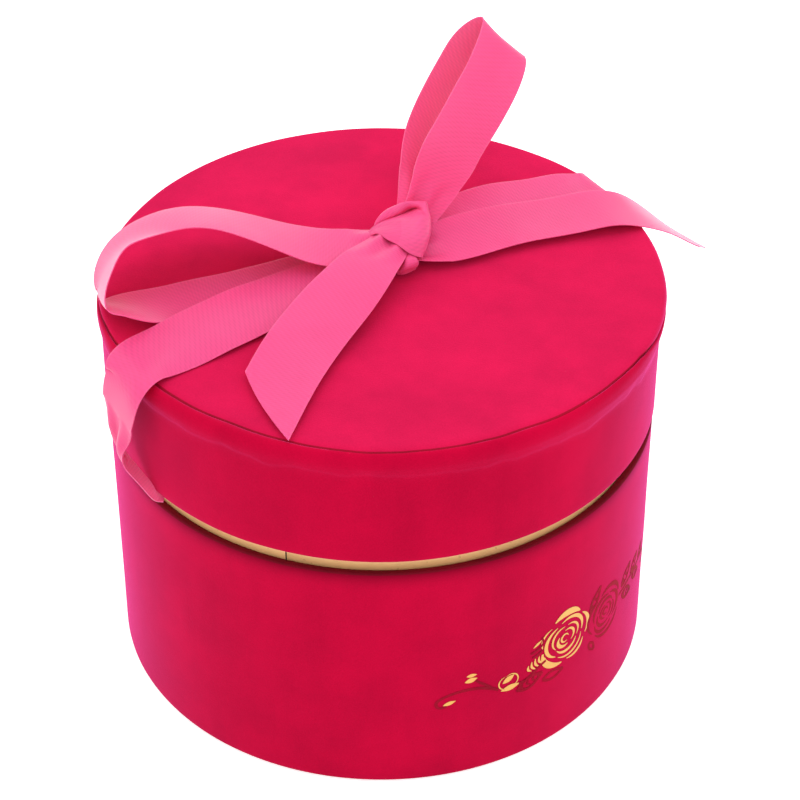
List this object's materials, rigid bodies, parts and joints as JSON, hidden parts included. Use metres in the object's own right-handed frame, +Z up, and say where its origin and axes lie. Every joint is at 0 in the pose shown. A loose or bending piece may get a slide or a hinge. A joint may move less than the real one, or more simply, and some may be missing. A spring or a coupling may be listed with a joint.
{
  "type": "round flower gift box",
  "caption": "Tall round velvet-covered flower gift box with a lift-off lid, a gold neck band and a tied satin ribbon bow on the lid.",
  "frame": {"origin": "middle of the underside, where the box stands on the table", "axes": "+Z up along the box's axis, -Y the side shown to the viewer, +X to the viewer's right"},
  "size_m": [0.2218, 0.1997, 0.2112],
  "materials": {
    "greyboard": "raw grey board edge",
    "pink_velvet": "short-pile velvet, deep pink",
    "white_paper": "smooth off-white lining paper",
    "gold_card": "metallic gold foil-faced card",
    "white_foam": "thin soft padding",
    "pink_satin": "ribbed satin ribbon, bright pink"
  },
  "bodies": {
    "body": {"body_board_tube": "greyboard", "body_base_board": "greyboard", "body_velvet_wrap": "pink_velvet", "base_underside_sheet": "white_paper", "neck_board_tube": "greyboard", "neck_gold_card": "gold_card", "inner_wall_lining": "white_paper", "inner_base_lining": "white_paper"},
    "lid": {"lid_wall_board": "greyboard", "lid_top_board": "greyboard", "lid_foam_pad": "white_foam", "lid_top_velvet": "pink_velvet", "lid_side_velvet": "pink_velvet", "lid_wall_lining": "white_paper", "lid_top_lining": "white_paper", "ribbon_band_left": "pink_satin", "ribbon_band_right": "pink_satin", "ribbon_knot": "pink_satin", "ribbon_loop_left": "pink_satin", "ribbon_loop_upper": "pink_satin", "ribbon_tail_front": "pink_satin", "ribbon_tail_right": "pink_satin"}
  },
  "joints": [
    {"name": "lid_lift", "type": "slide", "parent": "body", "child": "lid", "axis": [0, 0, 1], "range_m": [0, 0.12]}
  ]
}
